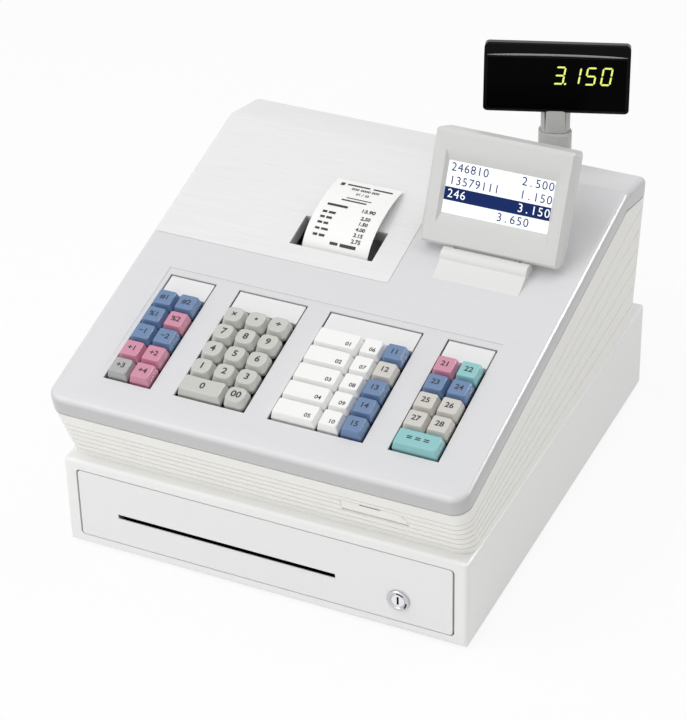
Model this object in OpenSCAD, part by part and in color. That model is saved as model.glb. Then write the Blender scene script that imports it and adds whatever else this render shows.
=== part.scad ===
// Electronic ticket register on its cash drawer.
// Frame: +Z up, the operator stands at -Y, origin on the floor under the middle of the whole register.

/* [Drawer cabinet] */
// Width of the cabinet
cab_w = 348; // [340:1:352]
// Depth of the cabinet, front face to back face
cab_d = 394; // [388:1:400]
// Height of the cabinet without its feet
cab_h = 81.5; // [80:0.5:84]
// Height that the rubber feet stand out below the cabinet
foot_h = 1.5; // [1:0.5:4]
// Thickness of the sheet steel
sheet = 1.2; // [0.8:0.1:1.5]
// Width of the drawer's front panel
front_w = 322.6; // [318:0.2:324]
// Height of the drawer's front panel
front_h = 62.4; // [61:0.2:63]
// Height of the front panel's lower edge above the cabinet's underside
front_z = 9.7; // [9.2:0.1:11]

/* [Register case] */
// Angle of the sloping top
slope_deg = 14; // [13:0.5:15]
// Angle of the short stretch that falls away behind the bend
fall_deg = 11; // [10:0.5:12]
// Length of the slope from the bend to the front edge
slope_len = 343; // [340:1:346]
// Height of the bend above the cabinet
bend_rise = 150.4; // [149:0.2:152]
// Place of the bend behind the origin
bend_y = 127.6; // [126:0.2:129]
// Half width of the case at the bend
half_w_bend = 179.5; // [178:0.5:181]
// Half width of the case at its front edge
half_w_front = 176.2; // [175:0.5:177]
// Half width of the case where it stands on the cabinet
half_w_foot = 173.3; // [172:0.1:174]
// Depth of the upper cover's skirt
skirt = 17; // [15:0.5:19]
// Wall thickness of the mouldings
wall = 2.5; // [2:0.1:3]

/* [Keyboard] */
// Distance from key to key
key_pitch = 19.3; // [19:0.1:19.4]
// Height of the key tops above the cover
key_rise = 6.5; // [5:0.5:8]
// Travel of a key
key_travel = 2.2; // [1.5:0.1:2.4]
// Distance of the key windows' upper edge from the bend
window_v0 = 191.4; // [190:0.2:193]

/* [Printer] */
// Width of the receipt paper
paper_w = 58; // [57:0.5:58]
// Middle of the paper's path across the case
paper_x = -24.5; // [-27:0.5:-24]
// Radius of the paper roll
roll_r = 30; // [20:1:36]

/* [Displays] */
// Width of the operator display
op_w = 119; // [115:1:120]
// Height of the operator display's face
op_h = 92; // [88:1:94]
// Angle of the operator display's face from the vertical
op_tilt = 23.6; // [22:0.2:25]
// Width of the customer display
cust_w = 118; // [112:1:120]
// Height of the customer display's face
cust_h = 56; // [52:1:58]
// Angle that the customer display is turned about its mast
cust_yaw = 19; // [0:1:30]
// Angle of the customer display's face from the vertical
cust_tilt = 13.4; // [10:0.2:16]

/* [Hidden] */
$fn = 48;
eps = 0.01;
seam = 0.4;                      // open joint between two covers
seam_gap = 0.06;                 // between the two case halves
groove_h = 1.4;                  // shadow groove along the parting, above it
groove_t = 1.5;
run = 0.05;                      // radial clearance of a running pin
cab_top = foot_h + cab_h;
cab_y = 7;                       // the cabinet's middle is behind that of the whole register
bend_z = cab_top + bend_rise;
back_y = 177;                    // rear face of the register case
edge_r = 5;                      // rounding along the top edges
corner_r = 14;                   // front corners, seen from above
big = 500;

function cover_z(y) = bend_z - abs(y - bend_y) * tan(y < bend_y ? slope_deg : fall_deg);

// register case
toe_y = -180;                    // front of the case where it stands on the cabinet
front_rise = bend_rise - slope_len * sin(slope_deg) - skirt * cos(slope_deg);
fall_len = (back_y - 0.5 + edge_r * sin(fall_deg) - bend_y) / cos(fall_deg);
rib_n = 6;
rib_w = 1.1;
rib_t = 0.7;
floor_z = cab_top + wall;
boss_h = 8;
board_x = 105;                   // screw holes of the main board
board_y = [-165, -11];
lug_x = [-140, 2];               // hinge of the printer cover
lug_w = 9;
lug_r = 3;
lug_y = back_y - 0.4 - lug_r;
lug_z = 212;
door_x0 = 71;                    // card door in the front
door_x1 = 125;
door_z0 = 104.5;
door_h = 12;
door_r = 10;
door_t = 2;
door_pin = 0.7;

// drawer
front_gap = 0.9;                 // above and below the drawer's front panel
side_gap = 1.6;
front_r = 2.6;                   // its corners
frame_t = 12;                    // depth of the cabinet's front frame
panel_t = 10;                    // depth of the drawer's front panel
panel_skin = 2.5;
slot_skin = 0.9;                 // the panel is thinner round the slot
face_y = cab_y - cab_d / 2;
foot_x = 150;
foot_y = 170;
box_half = 150;
box_y0 = face_y + panel_t;
box_len = 355;
box_z = 11;
box_h = 49;
glide_z = 34;
glide_h = 6;
glide_w = 11;
glide_gap = 0.3;
rail_x = box_half + glide_w + 1;
rail_y0 = face_y + frame_t + 1;
rail_len = 365;
tray_half = 147.5;
tray_t = 2.5;
tray_y0 = box_y0 + sheet + 14;   // the space in front of the tray takes the posted slips
tray_len = 282;
tray_z = box_z + sheet;
tray_h = 44;
tray_floor = 2;
coin_len = 84;
coin_n = 6;
note_n = 4;
coin_w = (2 * tray_half - (coin_n + 1) * tray_t) / coin_n;
note_w = (2 * tray_half - (note_n + 1) * tray_t) / note_n;
note_y0 = tray_y0 + coin_len + 2 * tray_t;
note_y1 = tray_y0 + tray_len - tray_t;
clip_y = note_y1 - 12;           // pivot of the note clips
clip_z = tray_z + tray_h - 8;
clip_r = 1.5;
clip_len = 128;
clip_drop = 14;                  // degrees that a clip slopes down at rest
slot_z = 36.2;                   // slot through the drawer's front
slot_h = 4.2;
slot_x0 = -127;
slot_x1 = 63.5;
lock_x = 116.7;
lock_z = 30.2;
lock_r = 7.8;
lock_len = 18;
plug_r = 5.5;
latch_x = -70;
latch_y = cab_y + 188;
latch_z = 58;
latch_pin = 1.5;
spring_x = 60;
spring_z = 36;
spring_r = 7;
spring_wire = 0.9;
spring_turns = 5;
spring_y0 = box_y0 + box_len + 0.3;
spring_y1 = cab_y + cab_d / 2 - sheet;

// keyboard: the middles of the four blocks, their widths in keys, and the colours of the rows
key_gap = 0.9;
key_skirt = 3;
key_wall = 1.3;
stem_drop = 0.4;                 // length that a key's stem stands out below its skirt
sheet_n = -6.4;                  // top of the contact sheet
sheet_t = 3;
pad_h = -sheet_n - key_skirt - stem_drop - key_travel - 0.2;
window_side = 1.35;              // free strip between the keys and the window's edge
window_len = 6.18 * key_pitch;
last_row_v = window_v0 + window_len - window_side - key_pitch / 2;
function row_v(row) = last_row_v - (5 - row) * key_pitch;
filler_gap = 0.6;
filler_len = row_v(1) - key_pitch / 2 - filler_gap - window_v0 - window_side;
step_v0 = 184.9;                 // the slight step above the keyboard
step_t = 0.6;
deck_x0 = -144;
deck_x1 = 146;
left_x = -119.3;
number_x = -48.1;
centre_x = 41.4;
right_x = 122.2;
blocks = [[left_x, 2], [number_x, 3], [centre_x, 4], [right_x, 2]];
blue = "#6480b4";
pink = "#dd8aa6";
grey = "#b4b4ae";
putty = "#c8c6ba";
white = "#f2f2ee";
beige = "#d8d2c4";
teal = "#7ecfc8";
left_rows = [[blue, blue], [blue, pink], [blue, blue], [pink, pink], [grey, pink]];
centre_rows = [blue, beige, blue, blue, blue];
right_rows = [[pink, teal], [blue, blue], [beige, beige], [beige, beige]];

// printer
cover_x1 = 32.7;                 // right edge of the printer cover
cover_v1 = 150.1;                // front edge of the printer cover, from the bend
chute_x0 = -62.3;
chute_x1 = 10.9;
chute_v0 = 98;
chute_v1 = 131.5;
chute_t = 1.5;
chute_n = -11;                   // lower edge of the chute's walls
ledge = 2;
platen_y = -1.4;
platen_z = cab_top + 103;
platen_r = 5;
shaft_r = 2;
arm_x = paper_w / 2 + 3.6;       // inner faces of the arms that hold the platen, from the paper's middle
arm_t = 2;
gear_t = 3;
plate_in = paper_w / 2 + 0.7;    // inner faces of the printer frame's side plates
plate_t = 2.4;
plate_y0 = 6;
plate_y1 = 147;
roll_y = 99;
roll_z = cab_top + 66;
roll_bore = 6;
cradle_r = 40;
cradle_t = 2.2;
trough_z = roll_z - roll_r - 0.3 + cradle_r;
head_gap = 0.3;
sink_y = 7;                      // front face of the head's heat sink
sink_t = 5;
guide_y1 = 51;                   // rear edge of the paper guide
slip_t = 0.3;
slip_n = 14;
slip_curve = [[-130.5, -11], [-125, 9], [-86, 13], [-52, 2.5]];

// displays
stand_x0 = 64;
stand_x1 = 137;
barrel_y = 20;
barrel_z = 209.3;
barrel_r = 7.5;
barrel_deg = 172;                // where the front ramp leaves the barrel
ramp_y0 = -2.4;                  // toe of the ramp
ramp_mid = [9.4, 207.6];         // corner that the ramp's hollow is rounded from
hinge_z = barrel_z + 2;          // the hinge pin is above the barrel's middle, to clear the cover
knuckle_r = 3.2;
knuckle_len = 56;
arm_deg = 31;
op_x = 100.8;
op_y = 22;
op_z = 217.2;
lcd_w = 90;
lcd_h = 42.5;
lcd_v = 46.25;                   // middle of the screen above the display's lower edge
lcd_depth = 3;
lcd_t = 5;
lcd_gap = 0.2;
bezel = [95, 59.5];              // opening of the sloping recess round the screen
mast_x = 103.6;
mast_y = 161;
mast_top = 259.5;
mast_w = 28;
mast_t = 20;
mast_len = 105;
mast_gap = 0.3;
neck_w = 24;
neck_t = 15;
journal_r = 6;
journal_len = 13;
cust_z = 279.3;                  // lower front edge of the customer display
cust_y = -8.5;                   // ... and how far it stands before the mast's axis
cust_t = 18;
glass_w = 112;
glass_h = 42;
glass_v = 3;
glass_t = 1.5;

// ---------- helpers ----------

// flat rectangle with round corners, centred
module round_rect(w, l, r) {
    square([w - 2 * r, l], center = true);
    square([w, l - 2 * r], center = true);
    for (sx = [-1, 1], sy = [-1, 1])
        translate([sx * (w / 2 - r), sy * (l / 2 - r)]) circle(r);
}

// block with all its edges along X, Y and Z rounded, standing on its lower face
module soft_block(w, l, h, r) {
    intersection() {
        linear_extrude(h) round_rect(w, l, r);
        translate([0, l, h / 2]) rotate([90, 0, 0]) linear_extrude(2 * l) round_rect(w, h, r);
        translate([-w, 0, h / 2]) rotate([90, 0, 90]) linear_extrude(2 * w) round_rect(l, h, r);
    }
}

// upright oval column
module oval(w, t, h) {
    cylinder(d = t, h = h);
    for (s = [-1, 1]) translate([s * (w - t) / 2, 0, 0]) cylinder(d = t, h = h);
    translate([-(w - t) / 2, -t / 2, 0]) cube([w - t, t, h]);
}

// horizontal cylinder along X, centred on its length
module rod(r, len) rotate([0, 90, 0]) cylinder(r = r, h = len, center = true);

// box given by its two corners
module span(a, b) translate(a) cube([b[0] - a[0], b[1] - a[1], b[2] - a[2]]);

// frame of the sloping top: X across, -Y down the slope, Z out of the surface
module on_slope() translate([0, bend_y, bend_z]) rotate([slope_deg, 0, 0]) children();

// frame of the short stretch behind the bend
module on_fall() translate([0, bend_y, bend_z]) rotate([-fall_deg, 0, 0]) children();

module from_cabinet_base() translate([0, 0, foot_h]) children();

// points of an arc about c from angle a0 to a1
function arc(c, r, a0, a1, n) =
    [for (i = [0 : n]) let (a = a0 + (a1 - a0) * i / n) c + r * [cos(a), sin(a)]];

// side view (Y, Z) drawn as a polygon and made w wide, centred on X
module side_profile(points, w) {
    translate([-w / 2, 0, 0]) rotate([90, 0, 90]) linear_extrude(w) polygon(points);
}

// ---------- register case ----------

// disc with a rounded upper edge, used as one corner of the case
module corner_disc(r, edge, h) {
    translate([0, 0, h - edge]) rotate_extrude($fn = 32) translate([r - edge, 0]) intersection() {
        circle(edge, $fn = 16);
        square(edge);
    }
    cylinder(r = r, h = eps, $fn = 32);
}

// outer form of the whole register case, or the same form drawn in by t on every side
module case_form(t = 0) {
    bend_r = edge_r + 0.5;
    hull() for (s = [-1, 1]) {
        on_slope() translate([s * (half_w_front - corner_r), corner_r - slope_len, -skirt])
            corner_disc(corner_r - t, edge_r - t, skirt - t);
        on_slope() translate([s * (half_w_bend - bend_r), 0, -edge_r])
            corner_disc(bend_r - t, edge_r - t, edge_r - t);
        on_fall() translate([s * (half_w_bend - bend_r), fall_len - bend_r, -edge_r])
            corner_disc(bend_r - t, edge_r - t, edge_r - t);
        translate([s * (half_w_foot - corner_r), toe_y + corner_r, cab_top + t])
            cylinder(r = corner_r - t, h = eps, $fn = 32);
        translate([s * (half_w_foot - edge_r), back_y - 12, cab_top + t])
            cylinder(r = edge_r - t, h = eps, $fn = 24);
        translate([s * (half_w_foot - edge_r), back_y - edge_r, cab_top + 12])
            cylinder(r = edge_r - t, h = eps, $fn = 24);
    }
}

// everything above the parting line of the two case halves, raised by d
module above_parting(d = 0) {
    on_slope() translate([-big / 2, -2 * big, d - skirt]) cube([big, 3 * big, big]);
    on_fall() translate([-big / 2, -2 * big, d - skirt]) cube([big, 3 * big, big]);
}

// everything below the parting line
module below_parting() {
    intersection() {
        on_slope() translate([-big / 2, -2 * big, -skirt - seam_gap - big]) cube([big, 3 * big, big]);
        on_fall() translate([-big / 2, -2 * big, -skirt - seam_gap - big]) cube([big, 3 * big, big]);
    }
}

// shadow groove round the covers, along their lower edge
module parting_groove() difference() {
    union() {
        on_slope() translate([-big / 2, -2 * big, -skirt - 1]) cube([big, 2 * big, 1 + groove_h]);
        on_fall() translate([-big / 2, -1, -skirt - 1]) cube([big, big, 1 + groove_h]);
    }
    case_form(groove_t);
}

// region of the printer cover, grown by g
module printer_region(g) {
    on_slope() span([-big, -cover_v1 - g, -big], [cover_x1 + g, big, big]);
}

// fine grooves round the lower case, fanned between its foot and the parting line
module rib_grooves() {
    for (i = [1 : rib_n])
        let (f = i / (rib_n + 1))
        translate([0, toe_y, cab_top + f * (front_rise - 3)]) rotate([slope_deg * f, 0, 0])
            translate([-big / 2, -60, -rib_w / 2]) cube([big, big, rib_w]);
}

// slope of the case's front face, and its Y at height z
front_lean = (slope_len * cos(slope_deg) - skirt * sin(slope_deg) - bend_y + toe_y) / front_rise;
function front_y(z) = toe_y - front_lean * (z - cab_top);

// hinge line of the card door, inside its lower edge
door_pin_y = front_y(door_z0) + 1.1;
door_pin_z = door_z0 + 1.2;

// outline of the card door seen from the front, grown by g
module door_outline(g) {
    difference() {
        translate([door_x0 - g, door_z0 - g]) square([door_x1 - door_x0 + 2 * g, door_h + 2 * g]);
        translate([door_x1 - door_r, door_z0 + door_h - door_r]) difference() {
            square(2 * door_r);
            circle(door_r + g);
        }
    }
}

module lower_case() color("#e9e9e2") {
    difference() {
        intersection() {
            difference() {
                case_form();
                case_form(wall);
            }
            below_parting();
        }
        difference() {
            rib_grooves();
            case_form(rib_t);
        }
        rotate([90, 0, 0]) linear_extrude(big) door_outline(seam);
        // holes for the pins of the card door
        for (x = [door_x0, door_x1]) translate([x, door_pin_y, door_pin_z]) rod(door_pin + run, 7);
        // cable inlet and the opening for the sockets in the rear wall
        translate([-120, back_y, cab_top + 22]) rotate([90, 0, 0]) cylinder(r = 6, h = 20, center = true);
        span([70, back_y - 10, cab_top + 16], [102, back_y + 5, cab_top + 28]);
    }
    // ears that the printer cover's pins turn in
    for (x = lug_x) difference() {
        union() {
            translate([x, lug_y, lug_z]) rod(lug_r, lug_w);
            span([x - lug_w / 2, lug_y - lug_r + 0.5, lug_z - 12], [x + lug_w / 2, lug_y + lug_r - 0.4, lug_z]);
        }
        translate([x, lug_y, lug_z]) rod(1.2 + run, lug_w + 2);
    }
    // bosses that the main board is screwed to
    for (sx = [-1, 1], y = board_y)
        translate([sx * board_x, y, floor_z - eps]) difference() {
            cylinder(r = 4, h = boss_h + eps);
            translate([0, 0, 2]) cylinder(r = 1.4, h = boss_h);
        }
}

module card_door() color("#ecece6") {
    difference() {
        intersection() {
            difference() {
                case_form();
                case_form(door_t);
            }
            rotate([90, 0, 0]) linear_extrude(big) door_outline(0);
        }
        // finger notch in the upper edge
        span([door_x0 + 16, -big, door_z0 + door_h - 1.6], [door_x0 + 33, 0, door_z0 + door_h + 5]);
        // room for the rounded hinge edge
        span([door_x0 - 1, -big, door_z0 - 1], [door_x1 + 1, 0, door_pin_z]);
    }
    translate([(door_x0 + door_x1) / 2, door_pin_y, door_pin_z]) {
        rod(1.1, door_x1 - door_x0);
        rod(door_pin, door_x1 - door_x0 + 5);
    }
}

// window that a block of keys stands in, cut through the cover
module key_window(x, units) {
    w = units * key_pitch + 2 * window_side;
    span([x - w / 2, -window_v0 - window_len, -10], [x + w / 2, -window_v0, 10]);
}

module upper_cover() color("#dedee2") {
    difference() {
        union() {
            difference() {
                intersection() {
                    case_form();
                    above_parting();
                }
                case_form(wall);
                printer_region(seam / 2);
            }
            on_slope() {
                // ledges under the front and right edges of the printer cover
                span([-170, -cover_v1 - 8, -wall - ledge], [cover_x1 + 8, -cover_v1 - seam, -wall + eps]);
                span([-170, -cover_v1 - 4, -wall - ledge], [cover_x1, -cover_v1 + 6, -wall - 0.3]);
                span([cover_x1 + seam, -cover_v1 - 4, -wall - ledge], [cover_x1 + 8, -4, -wall + eps]);
                span([cover_x1 - 6, -cover_v1, -wall - ledge], [cover_x1 + 4, -4, -wall - 0.3]);
                // ribs between the windows, which the contact sheet is screwed to
                for (x = [-142, -88.4, -8, 91.5, 144.5])
                    span([x - 1.2, -window_v0 - window_len, sheet_n], [x + 1.2, -window_v0, -wall + eps]);
            }
            // sleeve that guides the mast
            translate([mast_x, mast_y, mast_top - mast_len + 14])
                oval(mast_w + 6, mast_t + 6, cover_z(mast_y + mast_t / 2) - 3 - mast_top + mast_len - 14);
        }
        parting_groove();
        on_slope() {
            for (b = blocks) key_window(b[0], b[1]);
            // the slight step above the keyboard, deepest at its upper edge
            translate([(deck_x0 + deck_x1) / 2, 0, 0]) side_profile([[-step_v0, -step_t], [-step_v0, 2],
                [20 - slope_len, 2], [20 - slope_len, 0]], deck_x1 - deck_x0);
        }
        translate([mast_x, mast_y, 100]) oval(mast_w + 2 * mast_gap, mast_t + 2 * mast_gap, 200);
    }
}

module printer_cover() color("#e4e4e4") {
    difference() {
        union() {
            difference() {
                intersection() {
                    case_form();
                    above_parting(seam);
                    printer_region(-seam / 2);
                }
                case_form(wall);
            }
            // walls of the paper chute
            on_slope() difference() {
                span([chute_x0 - chute_t, -chute_v1 - chute_t, chute_n],
                    [chute_x1 + chute_t, chute_t - chute_v0, -wall + eps]);
                // the platen and its gear need the room below the front wall
                span([paper_x - arm_x, -chute_v1 - 3, chute_n - 1],
                    [paper_x + arm_x + arm_t + gear_t + 2, -chute_v1 + 6, chute_n + 5]);
            }
            // arms that hold the platen roller
            for (s = [-1, 1]) translate([paper_x + s * (arm_x + arm_t / 2), platen_y, platen_z - 4])
                span([-arm_t / 2, -5, 0], [arm_t / 2, 5, cover_z(platen_y - 5) - platen_z + 3]);
        }
        parting_groove();
        on_slope() span([chute_x0, -chute_v1, -2 * wall - 20], [chute_x1, -chute_v0, 5]);
        translate([paper_x, platen_y, platen_z]) rod(shaft_r + run, 2 * (arm_x + arm_t) + 2);
        // the rear edge is cut back so that it clears the lower case as the cover tips up
        span([-big, lug_y - 3, 0], [big, big, lug_z - 3.5]);
        for (x = lug_x) {
            translate([x, lug_y, lug_z]) rod(lug_r + 0.6, lug_w + 1);
            span([x - lug_w / 2 - 0.5, lug_y - 8, lug_z - 20], [x + lug_w / 2 + 0.5, big, lug_z]);
        }
    }
    // knuckles on both sides of each ear, and their pins
    for (x = lug_x) translate([x, lug_y, lug_z]) {
        rod(1.2, lug_w + 4);
        for (s = [-1, 1]) translate([s * (lug_w / 2 + 2.5), 0, 0]) rod(lug_r, 4);
    }
}

// ---------- keyboard ----------

// four-sided taper from a foot of w by l to a top that is in by tx and ty on each side
module taper(w, l, h, tx, ty) {
    intersection() {
        translate([0, l, 0]) rotate([90, 0, 0]) linear_extrude(2 * l)
            polygon([[-w / 2, 0], [w / 2, 0], [w / 2 - tx, h], [tx - w / 2, h]]);
        side_profile([[-l / 2, 0], [l / 2, 0], [l / 2 - ty, h], [ty - l / 2, h]], 2 * w);
    }
}

// hollow key cap with its stem; (x, v) is its middle and units its width in key pitches
module key_cap(x, v, units, tone, dished = false) {
    w = units * key_pitch - key_gap;
    l = key_pitch - key_gap;
    in_x = 1.7;
    in_y = 1.5;
    dish = 0.7;
    half = w / 2 - in_x - 0.3;   // a narrow flat strip stays at both sides of the dish
    dish_r = (half * half + dish * dish) / (2 * dish);
    color(tone) translate([x, -v, 0]) {
        difference() {
            union() {
                translate([-w / 2, -l / 2, -key_skirt]) cube([w, l, key_skirt]);
                intersection() {
                    taper(w, l, key_rise, in_x, in_y);
                    // the square number keys have round tops
                    if (dished && units == 1) cylinder(r1 = 13.4, r2 = 9.3, h = key_rise);
                    else translate([-w, -l, 0]) cube([2 * w, 2 * l, key_rise]);
                }
            }
            pocket = [w - 2 * (key_wall + in_x), l - 2 * (key_wall + in_y), key_skirt + key_rise - 0.8];
            translate([-pocket[0] / 2, -pocket[1] / 2, -key_skirt - 1]) cube(pocket);
            if (dished) translate([0, 0, key_rise - dish + dish_r]) rotate([90, 0, 0])
                cylinder(r = dish_r, h = 2 * l, center = true, $fn = 128 * units);
        }
        translate([0, 0, -key_skirt - stem_drop]) cylinder(r = 2.2, h = key_skirt + stem_drop + key_rise - 1.2);
    }
}

// keys of one row, with their widths in units, placed from the left edge of a block
module key_row(x, total, row, units, tones) {
    starts = [for (i = 0, a = 0; i < len(units); a = a + units[i], i = i + 1) a];
    on_slope() for (i = [0 : len(units) - 1])
        key_cap(x + (starts[i] + units[i] / 2 - total / 2) * key_pitch, row_v(row), units[i], tones[i]);
}

module left_row(row) key_row(left_x, 2, row, [1, 1], left_rows[row - 1]);
module centre_row(row) key_row(centre_x, 4, row, [2, 1, 1], [white, white, centre_rows[row - 1]]);
module right_row(row) key_row(right_x, 2, row, [1, 1], right_rows[row - 1]);
module total_key() key_row(right_x, 2, 5, [2], [teal]);

// key of the number block, by its column and row
module number_key(column, row, units = 1)
    on_slope() key_cap(number_x + (column - 2.5 + units / 2) * key_pitch, row_v(row), units, putty, true);

module function_keys_row() for (column = [1 : 3]) number_key(column, 1);

// rubber contact sheet on its backing plate, with one low pad for each key place
module key_contact_sheet() color("#2b2b2d") on_slope() {
    span([deck_x0, -window_v0 - window_len - 4, sheet_n - sheet_t], [deck_x1, 4 - window_v0, sheet_n]);
    for (b = blocks, row = [1 : 5], i = [0 : b[1] - 1])
        translate([b[0] + (i + 0.5 - b[1] / 2) * key_pitch, -row_v(row), sheet_n - eps])
            cylinder(r = 4.5, h = pad_h + eps);
}

// pale plates that fill the windows above the first row of keys
module window_fillers() color("#e8e8e4") on_slope()
    for (b = blocks)
        translate([b[0] - b[1] * key_pitch / 2, filler_gap + key_pitch / 2 - row_v(1), sheet_n])
            cube([b[1] * key_pitch, filler_len, -sheet_n - step_t - 0.1]);

// ---------- printer ----------

// outline of a small spur gear with n teeth between two radii
module gear_outline(n, root, tip) {
    polygon([for (i = [0 : n - 1], k = [0 : 3])
        let (a = (i + [0.1, 0.35, 0.65, 0.9][k]) * 360 / n, r = [root, tip, tip, root][k])
        [r * cos(a), r * sin(a)]]);
}

module platen_roller() translate([paper_x, platen_y, platen_z]) {
    color("#3a3a3c") rod(platen_r, paper_w);
    color("silver") rod(shaft_r, 2 * (arm_x + arm_t + gear_t + 1));
    color("#d8d4c8") translate([arm_x + arm_t + 0.6, 0, 0]) rotate([0, 90, 0])
        linear_extrude(gear_t) gear_outline(16, 4.6, 5.8);
}

module paper_roll() color("#f6f6f2") translate([paper_x, roll_y, roll_z]) difference() {
    rod(roll_r, paper_w);
    rod(roll_bore, paper_w + 2);
}

// printer frame: two side plates and the trough that the roll lies in
module paper_cradle() color("#c9c9c4") {
    for (s = [-1, 1]) translate([paper_x + s * (plate_in + plate_t / 2), 0, 0])
        side_profile([[plate_y0, floor_z], [plate_y1, floor_z], [plate_y1, trough_z - 8],
            [roll_y + 32, trough_z + 4], [roll_y - 30, trough_z + 4], [guide_y1, platen_z + 3],
            [plate_y0, platen_z + 3]], plate_t);
    difference() {
        translate([paper_x, roll_y, trough_z]) rod(cradle_r + cradle_t, 2 * plate_in + 1);
        translate([paper_x, roll_y, trough_z]) rod(cradle_r, 2 * plate_in + 4);
        translate([paper_x - paper_w, roll_y - 60, trough_z - 4]) cube([2 * paper_w, 120, 60]);
    }
}

// thermal head on its heat sink, with the paper guide behind it and the feed motor below
module print_head() {
    head_y = platen_y + platen_r + head_gap;
    motor_y = sink_y + 22;
    motor_z = platen_z - 42;
    guide_y0 = sink_y + sink_t - eps;
    color("silver") translate([paper_x - plate_in, sink_y, platen_z - 14]) cube([2 * plate_in, sink_t, 19]);
    color("#3c3c3c") translate([paper_x - plate_in + 1, head_y, platen_z - 6])
        cube([2 * plate_in - 2, sink_y - head_y + eps, 9]);
    color("#c9c9c4") translate([paper_x, 0, 0]) side_profile([[guide_y0, platen_z - 14],
        [guide_y1, platen_z - 22], [guide_y1, platen_z - 20], [guide_y0, platen_z - 11.5]], 2 * plate_in);
    color("#8a8a88") translate([paper_x + plate_in - 24, motor_y, motor_z]) {
        rod(12, 48);
        translate([0, -12, -1.5]) cube([24, 24, 3]);
    }
}

// point of the slip's side view: a cubic curve, with its upper face t outside the lower one
function slip_point(f, t) = let (g = 1 - f, p = slip_curve)
    g * g * g * p[0] + 3 * g * g * f * p[1] + 3 * g * f * f * p[2] + f * f * f * p[3] + t * [-g, f];

// printed slip: it leaves the chute past the tear bar and arches back over the cover
module receipt() color("#fafafa") on_slope() translate([paper_x, 0, 0])
    side_profile(concat([for (i = [0 : slip_n]) slip_point(i / slip_n, 0)],
        [for (i = [slip_n : -1 : 0]) slip_point(i / slip_n, slip_t)]), paper_w);

// ---------- displays ----------

// bracket on the slope, with the barrel that the operator display turns in
module display_stand() color("#e2e2de") difference() {
    barrel = arc([barrel_y, barrel_z], barrel_r, barrel_deg, 0, 20);
    toe = [ramp_y0, cover_z(ramp_y0)];
    hollow_start = toe + 0.45 * (ramp_mid - toe);
    hollow = [for (i = [0 : 8]) let (f = i / 8)
        (1 - f) * (1 - f) * hollow_start + 2 * f * (1 - f) * ramp_mid + f * f * barrel[0]];
    translate([(stand_x0 + stand_x1) / 2, 0, 0]) side_profile(concat([toe], hollow, barrel,
        [[barrel_y + barrel_r, cover_z(barrel_y + barrel_r)]]), stand_x1 - stand_x0);
    translate([op_x, barrel_y, hinge_z]) rod(knuckle_r + run, knuckle_len + 1);
    // slot that the display's arm moves in
    translate([op_x, barrel_y, hinge_z])
        side_profile([[0, 0], [5.2, 19], [30, 19], [30, -0.6], [0, -0.6]], knuckle_len + 1);
}

module on_operator_display() translate([op_x, op_y, op_z]) rotate([-op_tilt, 0, 0]) children();

module operator_display_case() color("#d2d2ce") {
    on_operator_display() difference() {
        intersection() {
            // a wedge, deeper at the top
            side_profile([[2, 0], [0, 2], [0, op_h - 3], [3, op_h], [24, op_h], [30, op_h - 5],
                [31, op_h - 12], [11, 3], [8, 0]], op_w);
            translate([0, 40, op_h / 2]) rotate([90, 0, 0]) linear_extrude(80) round_rect(op_w, op_h, 4);
            // seen from above, its back is narrower
            translate([0, 0, -1]) linear_extrude(op_h + 2) for (s = [0, 1]) mirror([s, 0])
                polygon([[-1, -1], [op_w / 2 - 4, -1], [op_w / 2, 4], [op_w / 2, 14],
                    [op_w / 2 - 10, 34], [-1, 34]]);
        }
        // sloping recess round the screen, and the pocket of the screen itself
        translate([0, -eps, lcd_v]) rotate([-90, 0, 0])
            linear_extrude(lcd_depth, scale = [lcd_w / bezel[0], lcd_h / bezel[1]], slices = 1)
                square(bezel, center = true);
        translate([-lcd_w / 2, lcd_depth - 0.1, lcd_v - lcd_h / 2]) cube([lcd_w, lcd_t + 0.1, lcd_h]);
    }
    // knuckle and arm of the tilt hinge
    translate([op_x, barrel_y, hinge_z]) {
        rod(knuckle_r, knuckle_len);
        rotate([arm_deg, 0, 0]) span([2 - knuckle_len / 2, 0, -1.2], [knuckle_len / 2 - 2, 10, 1.2]);
    }
}

module lcd_panel() on_operator_display() {
    glass = 2;
    x = lcd_w / 2 - lcd_gap;
    z0 = lcd_v - lcd_h / 2 + lcd_gap;
    z1 = lcd_v + lcd_h / 2 - lcd_gap;
    color("#e6ecf4") span([-x, lcd_depth, z0], [x, lcd_depth + glass, z1]);
    color("#3f6b46") span([-x, lcd_depth + glass - eps, z0], [x, lcd_depth + lcd_t, z1]);
}

module display_mast() color("#c4c4c0") translate([mast_x, mast_y, mast_top - mast_len]) difference() {
    oval(mast_w, mast_t, mast_len);
    translate([0, 0, mast_len - journal_len - 1]) cylinder(r = journal_r + run, h = 20);
    // way for the display's cable
    translate([0, 0, -1]) cylinder(r = 4, h = mast_len);
}

module turned_with_display() translate([mast_x, mast_y, 0]) rotate([0, 0, cust_yaw]) children();

module on_customer_display() turned_with_display() translate([0, cust_y, cust_z]) rotate([-cust_tilt, 0, 0])
    children();

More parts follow.
